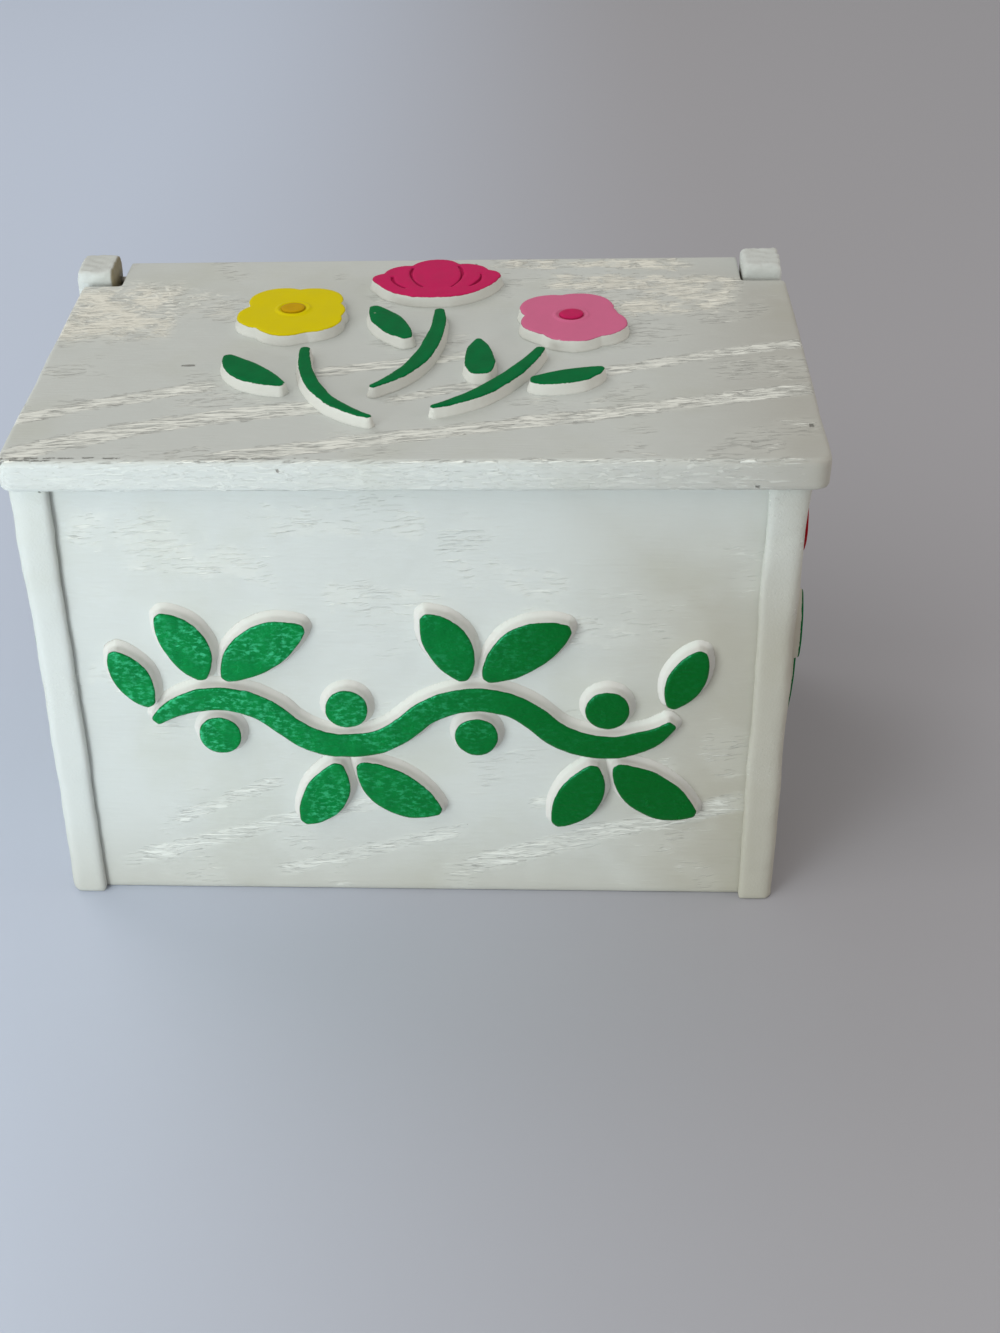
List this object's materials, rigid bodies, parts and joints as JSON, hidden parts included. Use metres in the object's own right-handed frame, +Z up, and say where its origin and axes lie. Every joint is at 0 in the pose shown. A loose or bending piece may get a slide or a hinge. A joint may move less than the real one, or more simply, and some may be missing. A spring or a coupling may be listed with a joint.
{
  "type": "recipe card box",
  "caption": "Hinged box for index cards: flat lid turning on pins between two rear ears, stiles at the front corners, raised painted flowers, stems and leaves.",
  "frame": {"origin": "centre of the closed box's footprint, on the surface that it stands on", "axes": "+X to the right seen from the front, +Y from front to back, +Z up"},
  "size_m": [0.1547, 0.0996, 0.1064],
  "materials": {
    "white_paint": "white paint over moulded plastic with a wood grain, eggshell gloss",
    "green_paint": "green enamel brushed on by hand",
    "yellow_paint": "yellow enamel brushed on by hand",
    "ochre_paint": "ochre enamel brushed on by hand",
    "pink_paint": "pink enamel brushed on by hand",
    "magenta_paint": "magenta enamel brushed on by hand",
    "red_paint": "red enamel brushed on by hand",
    "pin_steel": "plain drawn steel wire"
  },
  "bodies": {
    "box": {"right_side_board": "white_paint", "left_side_board": "white_paint", "front_panel": "white_paint", "back_panel": "white_paint", "bottom_panel": "white_paint", "hinge_pin_left": "pin_steel", "hinge_pin_right": "pin_steel", "front_vine_stem": "green_paint", "front_vine_leaves": "green_paint", "front_vine_buds": "green_paint", "right_side_left_flower": "red_paint", "right_side_left_flower_eye": "ochre_paint", "right_side_right_flower": "magenta_paint", "right_side_right_flower_eye": "ochre_paint", "right_side_bloom": "yellow_paint", "right_side_stems": "green_paint", "right_side_leaves": "green_paint", "left_side_left_flower": "red_paint", "left_side_left_flower_eye": "ochre_paint", "left_side_right_flower": "magenta_paint", "left_side_right_flower_eye": "ochre_paint", "left_side_bloom": "yellow_paint", "left_side_stems": "green_paint", "left_side_leaves": "green_paint"},
    "lid": {"lid": "white_paint", "lid_yellow_flower": "yellow_paint", "lid_yellow_flower_eye": "ochre_paint", "lid_pink_flower": "pink_paint", "lid_pink_flower_eye": "magenta_paint", "lid_magenta_bloom": "magenta_paint", "lid_stems": "green_paint", "lid_leaves": "green_paint", "lid_bud": "green_paint"}
  },
  "joints": [
    {"name": "lid_hinge", "type": "hinge", "parent": "box", "child": "lid", "pos_m": [0, 0.0465, 0.10035], "axis": [-1, 0, 0], "range_deg": [0, 103]}
  ]
}
